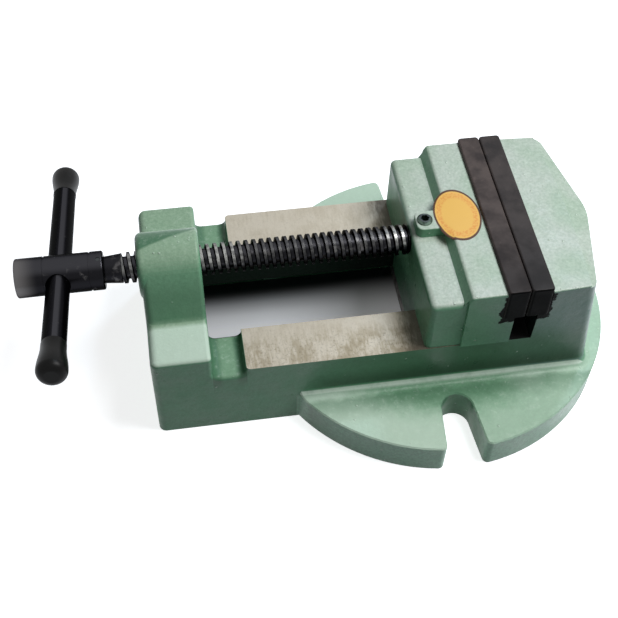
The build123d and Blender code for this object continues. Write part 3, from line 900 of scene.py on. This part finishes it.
@dataclass(frozen=True)
class WhitePaper:
    """White paper under the vise: it glows white round it and lies in plain shade in its window.

    The camera, and rays that mirror or pass through, see the white. Light on the object comes
    from the grey paper only.

    Attributes:
        name: Material name.
        grey: Paper that lights the object.
        open_tone: Paper in the open, shade_tone under the far way.
        rough: Roughness of the grey paper.
        glow: Glow of the white round the vise, and window_glow the share of it in the window.
        body_x_mm: Ends of the floor that the body covers.
        shade_y_mm: Where the shade under the far way starts, and where it is full.
    """

    name: str = "white_paper"
    grey: str = "#505356"
    open_tone: str = "#EEF2F8"
    shade_tone: str = "#3A4044"
    rough: float = 0.8
    glow: float = 0.8
    window_glow: float = 0.19
    body_x_mm: tuple[float, float] = (-152.0, 70.0)
    shade_y_mm: tuple[float, float] = (6.0, 38.0)

    def build(self) -> bpy.types.Material:
        """Returns the finished material."""
        paper = Surface.start(self.name)
        paper.give({"Base Color": linear(self.grey), "Roughness": self.rough})
        left, right = self.body_x_mm
        outside = abs(paper.y).ramp(BODY_HALF_MM - 3, BODY_HALF_MM)
        outside = outside | paper.x.ramp(left + 7, left) | paper.x.ramp(right - 10, right)
        dim = outside.inverse() * paper.y.ramp(*self.shade_y_mm)
        white = outside | dim.inverse() * self.window_glow
        tone = paper.mix(dim, self.open_tone, self.shade_tone)
        seen = add_node(paper.tree, "ShaderNodeBsdfDiffuse", {"Color": tone})
        light = {"Color": linear("#FFFFFF"), "Strength": white * self.glow}
        shine = add_node(paper.tree, "ShaderNodeEmission", light)
        both = add_node(paper.tree, "ShaderNodeAddShader", {0: seen.outputs[0], 1: shine.outputs[0]})
        paper.cover(seen_directly(paper.tree), both.outputs[0])
        return paper.material


def seen_directly(tree: bpy.types.NodeTree) -> Field:
    """Returns 1 for camera, glossy and transmission rays."""
    path = add_node(tree, "ShaderNodeLightPath").outputs
    rays = ("Camera", "Glossy", "Transmission")
    camera, glossy, through = (Field(tree, path[f"Is {ray} Ray"]) for ray in rays)
    return camera | glossy | through


@dataclass(frozen=True)
class SquareLamp:
    """One square area lamp that faces the vise.

    Attributes:
        name: Name of the lamp.
        place: Where it hangs, in metres.
        size: Side of the square in metres.
        power: Watts.
        colour: Its sRGB colour.
        aim: Point that it faces, in metres.
    """

    name: str
    place: tuple[float, float, float]
    size: float
    power: float
    colour: str = "#FFFFFF"
    aim: tuple[float, float, float] = (0.0, 0.0, 0.05)

    def build(self) -> None:
        """Hangs the lamp in the scene."""
        data = bpy.data.lights.new(self.name, "AREA")
        data.shape = "SQUARE"
        data.size = self.size
        data.energy = self.power
        data.color = linear(self.colour)[:3]
        lamp = bpy.data.objects.new(self.name, data)
        bpy.context.scene.collection.objects.link(lamp)
        lamp.location = self.place
        lamp.rotation_mode = "QUATERNION"
        lamp.rotation_quaternion = (Vector(self.aim) - Vector(self.place)).to_track_quat("-Z", "Y")


@dataclass(frozen=True)
class Studio:
    """Pale floor, a soft lamp overhead, a small cool one behind and a dim surround that looks white.

    Attributes:
        floor_m: Side of the floor in metres.
        floor_gap_mm: Gap between the floor and the vise.
        lamps: The two lamps.
        surround: Strength of the surround's light on the vise.
    """

    floor_m: float = 6.0
    floor_gap_mm: float = 0.2
    lamps: tuple[SquareLamp, ...] = (
        SquareLamp("overhead", (0.32, -0.05, 0.74), 0.4, 5.4),
        SquareLamp("window", (0.445, 0.646, 1.1), 0.16, 2.4, "#D8ECFF"),
    )
    surround: float = 0.09

    def build(self) -> None:
        """Makes floor, lamps and world."""
        bpy.ops.object.select_all(action="DESELECT")
        bpy.ops.mesh.primitive_plane_add(size=self.floor_m, location=(0, 0, -self.floor_gap_mm * MM))
        floor = bpy.context.object
        floor.name = "floor"
        apply_place(floor)
        floor.data.materials.append(WhitePaper().build())
        for lamp in self.lamps:
            lamp.build()
        world = bpy.data.worlds.new("surround")
        world.use_nodes = True
        tree = world.node_tree
        tree.nodes.clear()
        strength = seen_directly(tree).ramp(0.0, 1.0, self.surround, 1.0)
        sky = add_node(tree, "ShaderNodeBackground", {"Color": linear("#FFFFFF"), "Strength": strength})
        add_node(tree, "ShaderNodeOutputWorld", {"Surface": sky.outputs[0]})
        bpy.context.scene.world = world


@dataclass(frozen=True)
class PhotoCamera:
    """Camera fitted to the photograph by least squares on its corners.

    Attributes:
        place: Position in metres.
        heading: Turn from +Y towards +X, degrees.
        down: Angle below the horizon, degrees.
        roll: Turn about the view axis, degrees.
        focal_px: Focal length in pixels.
        frame_px: Width of the picture in pixels.
        sensor_mm: Width of the sensor.
        clip_m: Nearest and farthest distance that is rendered.
    """

    place: tuple[float, float, float] = (-0.13458, -0.36834, 0.5038)
    heading: float = 10.268
    down: float = 52.081
    roll: float = 1.940
    focal_px: float = 1100.64
    frame_px: float = 618.0
    sensor_mm: float = 36.0
    clip_m: tuple[float, float] = (0.01, 20.0)

    def build(self) -> None:
        """Adds the camera and makes it the scene's."""
        yaw, pitch, roll = (math.radians(v) for v in (self.heading, self.down, self.roll))
        ahead = Vector((math.sin(yaw) * math.cos(pitch), math.cos(yaw) * math.cos(pitch), -math.sin(pitch)))
        level = Vector((math.cos(yaw), -math.sin(yaw), 0))
        upright = level.cross(ahead)
        right = level * math.cos(roll) + upright * math.sin(roll)
        up = upright * math.cos(roll) - level * math.sin(roll)
        data = bpy.data.cameras.new("photo_camera")
        data.sensor_width = self.sensor_mm
        data.lens = self.sensor_mm * self.focal_px / self.frame_px
        data.clip_start, data.clip_end = self.clip_m
        camera = bpy.data.objects.new("photo_camera", data)
        bpy.context.scene.collection.objects.link(camera)
        turn = Matrix((right, up, -ahead)).transposed().to_4x4()
        camera.matrix_world = Matrix.Translation(self.place) @ turn
        bpy.context.scene.camera = camera


@dataclass
class ThreadedSpindle:
    """Spindle with its trapezoidal thread, turned from one bar.

    Attributes:
        pitch: Pitch of the thread, in millimetres like all the sizes here.
        outer: Radius over the crests.
        inner: Radius in the roots.
        crest: Width of a crest.
        root: Width of a root.
        neck: Radius inside the hub and beside it.
        collar: Radius where the collar starts, and where it meets the thread.
        journal: Radius of the journal that turns in the jaw.
        groove: Radius in the journal's groove for the set screw.
        groove_half: Half the width of that groove.
        chamfer: Chamfer of both ends.
        collar_x: Where the collar starts.
        thread_x: Where the thread starts and ends.
        groove_x: Middle of the groove.
        overlap: How far the core's mesh lies inside the thread's.
        steps: Facets round the axis.
        weld: Distance within which vertices are merged.
    """

    pitch: float = 4.0
    outer: float = SCREW_RADIUS_MM
    inner: float = 5.8
    crest: float = 1.46
    root: float = 1.46
    neck: float = 6.0
    collar: tuple[float, float] = (6.8, 7.6)
    journal: float = 5.5
    groove: float = 4.0
    groove_half: float = 2.3
    chamfer: float = 0.4
    collar_x: float = -173.75
    thread_x: tuple[float, float] = (-164.75, -16.65)
    groove_x: float = -9.05
    overlap: float = 0.05
    steps: int = 40
    weld: float = 0.01

    def build(self, material: bpy.types.Material) -> bpy.types.Object:
        """Models the spindle.

        Args:
            material: Its material.

        Returns:
            The spindle, which replaces the plain one of the CAD.
        """
        low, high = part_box("spindle")
        left, right = low.x / MM, high.x / MM
        start, stop = self.thread_x
        core = self.inner - self.overlap
        groove = (self.groove_x - self.groove_half, self.groove_x + self.groove_half)
        thread = self.wind(start, stop)
        shaft = self.turned(
            [
                (left, self.neck - self.chamfer),
                (left + self.chamfer, self.neck),
                (self.collar_x, self.neck),
                (self.collar_x, self.collar[0]),
                (start - 0.3, self.collar[1]),
                (start, self.collar[1] - 0.3),
                (start, core),
                (stop - 1.2, core),
                (stop - 0.9, self.outer - 0.1),
                (stop, self.outer - 1.0),
                (stop, self.journal),
                (groove[0], self.journal),
                (groove[0], self.groove),
                (groove[1], self.groove),
                (groove[1], self.journal),
                (right - self.chamfer, self.journal),
                (right, self.journal - self.chamfer),
            ]
        )
        pick([shaft, thread])
        bpy.ops.object.join()
        soften(thread, 30.0)
        finish_piece(thread, "threaded_spindle", Body.SCREW, material)
        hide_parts("spindle")
        return thread

    def turned(self, stations: list[tuple[float, float]]) -> bpy.types.Object:
        """Extrudes a disc along X through a list of stations, as a lathe would leave it.

        Args:
            stations: Pairs of x and radius in millimetres.

        Returns:
            The closed mesh object.
        """
        x, radius = stations[0]
        bpy.ops.object.select_all(action="DESELECT")
        bpy.ops.mesh.primitive_circle_add(
            vertices=self.steps,
            radius=radius * MM,
            fill_type="NGON",
            location=(x * MM, 0, SCREW_AXIS_MM * MM),
            rotation=(0, math.radians(90), 0),
        )
        shaft = bpy.context.object
        apply_place(shaft)
        with editing(shaft):
            for next_x, next_radius in stations[1:]:
                extrude((next_x - x) * MM)
                if next_radius != radius:
                    share = next_radius / radius
                    centre = (next_x * MM, 0.0, SCREW_AXIS_MM * MM)
                    bpy.ops.transform.resize(value=(1.0, share, share), center_override=centre)
                x, radius = next_x, next_radius
            bpy.ops.mesh.select_all(action="SELECT")
            bpy.ops.mesh.normals_make_consistent(inside=False)
        return shaft

    def wind(self, start: float, end: float) -> bpy.types.Object:
        """Winds one pitch of the thread's profile along X and trims both ends.

        Args:
            start: Left end in millimetres.
            end: Right end in millimetres.

        Returns:
            The trimmed thread.
        """
        turns = int((end - start) / self.pitch) + 3
        first = start - self.pitch * 1.5
        flank = (self.pitch - self.crest - self.root) / 2
        rise = self.outer - self.inner
        bpy.ops.object.select_all(action="DESELECT")
        start_z = SCREW_AXIS_MM + self.inner
        bpy.ops.mesh.primitive_plane_add(size=MM, location=(first * MM, 0, start_z * MM))
        thread = bpy.context.object
        apply_place(thread)
        half_root = (self.root / 2, 0.0)
        with editing(thread, mode="VERT"):
            bpy.ops.mesh.merge(type="CENTER")
            for dx, dz in (half_root, (flank, rise), (self.crest, 0.0), (flank, -rise), half_root):
                extrude(dx * MM, dz * MM)
        bpy.context.scene.cursor.location = (0, 0, SCREW_AXIS_MM * MM)
        pick([thread])
        bpy.ops.object.origin_set(type="ORIGIN_CURSOR")
        apply_modifier(
            thread,
            "SCREW",
            axis="X",
            angle=2 * math.pi,
            steps=self.steps,
            render_steps=self.steps,
            screw_offset=self.pitch * MM,
            iterations=turns,
            use_merge_vertices=True,
            merge_threshold=self.weld * MM,
        )
        apply_place(thread)
        bpy.context.scene.cursor.location = (0, 0, 0)
        for cut, side in ((start, "left"), (end - 1.0, "right")):
            with editing(thread):
                bpy.ops.mesh.bisect(
                    plane_co=(cut * MM, 0, 0),
                    plane_no=(1, 0, 0),
                    use_fill=True,
                    clear_inner=side == "left",
                    clear_outer=side == "right",
                )
        with editing(thread):
            bpy.ops.mesh.remove_doubles(threshold=self.weld * MM)
            bpy.ops.mesh.normals_make_consistent(inside=False)
        return thread


@dataclass
class OvalLabel:
    """Plain oval paper label stuck over the bridge and the moving jaw's upper step.

    Its two wings beside the bridge sag a little over the riser.

    Attributes:
        top: Height of the step under it, in millimetres like all the sizes here.
        gap: Gap between the step and the paper.
        thick: Thickness of the paper.
        step_x: Where the step ends and the wings start.
        bridge_half: Half the width of the bridge.
        sag: How far the wings sag.
        slack: Reach beyond the cuts within which nothing sags.
        steps: Facets round the rim.
    """

    top: float = 87.4
    gap: float = 0.03
    thick: float = 0.12
    step_x: float = 3.55
    bridge_half: float = 6.5
    sag: float = 0.9
    slack: float = 0.05
    steps: int = 72

    def build(self, material: bpy.types.Material) -> bpy.types.Object:
        """Models the label.

        Args:
            material: Its material.

        Returns:
            The label.
        """
        x, y = LABEL_CENTRE_MM
        bpy.ops.object.select_all(action="DESELECT")
        bpy.ops.mesh.primitive_circle_add(
            vertices=self.steps,
            radius=MM,
            fill_type="NGON",
            location=(x * MM, y * MM, (self.top + self.gap) * MM),
        )
        label = bpy.context.object
        label.scale = (*LABEL_HALF_MM, 1.0)
        apply_place(label)
        for cut_x, cut_y in ((self.step_x, 0), (0, self.bridge_half), (0, -self.bridge_half)):
            across = (1, 0, 0) if cut_x else (0, 1, 0)
            with editing(label):
                bpy.ops.mesh.bisect(plane_co=(cut_x * MM, cut_y * MM, 0), plane_no=across)
        for side in (-1, 1):
            with editing(label, lambda vertex, side=side: self.is_wing(vertex.co, side), "VERT"):
                bpy.ops.transform.translate(value=(0, 0, -self.sag * MM))
        apply_modifier(label, "SOLIDIFY", thickness=self.thick * MM, offset=1.0)
        soften(label, 40.0)
        finish_piece(label, "oval_label", Body.JAW, material)
        return label

    def is_wing(self, place: Vector, side: int) -> bool:
        """Tells if a place lies on the wing at one side of the bridge."""
        beside = side * place.y > (self.bridge_half + self.slack) * MM
        return beside and place.x < (self.step_x - self.slack) * MM


@dataclass(frozen=True)
class BaseAssembly:
    """Base casting with the fixed jaw's plate and its two screws.

    Attributes:
        plate: Finish of the plate.
        black: Finish of the screws.
    """

    plate: bpy.types.Material
    black: bpy.types.Material

    def build(self) -> None:
        """Dresses the pieces."""
        dress(MachineEnamel("casting_enamel", with_ways=True).build(), "base_casting")
        dress(self.plate, "fixed_jaw_plate")
        dress(self.black, "fixed_plate_screws")


@dataclass(frozen=True)
class ScrewAssembly:
    """Threaded spindle with the hub that is pinned to its end.

    Attributes:
        black: Finish of the hub.
        rubbed: Finish of the pin.
    """

    black: bpy.types.Material
    rubbed: bpy.types.Material

    def build(self) -> None:
        """Dresses hub and pin and models the spindle."""
        dress(self.black, "hub")
        dress(self.rubbed, "hub_pin")
        oxide = BlackOxide("screw_oxide", rub_low=0.5, rub_high=0.75, crest_mm=SCREW_RADIUS_MM)
        ThreadedSpindle().build(oxide.build())


@dataclass(frozen=True)
class JawAssembly:
    """Moving jaw with its plate, its set screw, the keeper under the ways and the label.

    Attributes:
        plate: Finish of the plate.
        black: Finish of the plate's screws.
        rubbed: Finish of the set screw.
    """

    plate: bpy.types.Material
    black: bpy.types.Material
    rubbed: bpy.types.Material

    def build(self) -> None:
        """Dresses the pieces and models the label."""
        dress(MachineEnamel("jaw_enamel", with_ways=False).build(), "moving_jaw")
        dress(self.plate, "moving_jaw_plate")
        dress(self.black, "moving_plate_screws")
        dress(self.rubbed, "set_screw")
        dress(PlainSteel().build(), "keeper_plate", "keeper_screws", "keeper_washers")
        OvalLabel().build(PaperLabel().build())


@dataclass(frozen=True)
class HandleAssembly:
    """Sliding bar with its two caps.

    Attributes:
        black: Finish of the bar.
    """

    black: bpy.types.Material

    def build(self) -> None:
        """Dresses the pieces."""
        dress(self.black, "tommy_bar")
        dress(BlackCap().build(), "end_cap_near", "end_cap_far")


@dataclass(frozen=True)
class Vise:
    """The whole vise.

    Attributes:
        plate: Finish of both jaw plates.
        black: Finish of the handle and the plates' screws.
        rubbed: Finish of the set screw and the hub pin.
    """

    plate: OiledSteel = OiledSteel()
    black: BlackOxide = BlackOxide("handle_oxide")
    rubbed: BlackOxide = BlackOxide(
        "set_screw_oxide", skin="#3E4A43", worn="#7E9486", rub_low=0.42, rub_high=0.66, rough=0.4
    )

    def build(self) -> None:
        """Builds the shared finishes, then each sub-assembly with them."""
        plate, black, rubbed = self.plate.build(), self.black.build(), self.rubbed.build()
        BaseAssembly(plate, black).build()
        ScrewAssembly(black, rubbed).build()
        HandleAssembly(black).build()
        JawAssembly(plate, black, rubbed).build()


def main() -> None:
    """Builds the scene."""
    logging.basicConfig(level=logging.INFO, format="%(message)s")
    bpy.context.scene.view_settings.view_transform = "Standard"
    PhotoCamera().build()
    Studio().build()
    Vise().build()


if __name__ == "__main__":
    main()
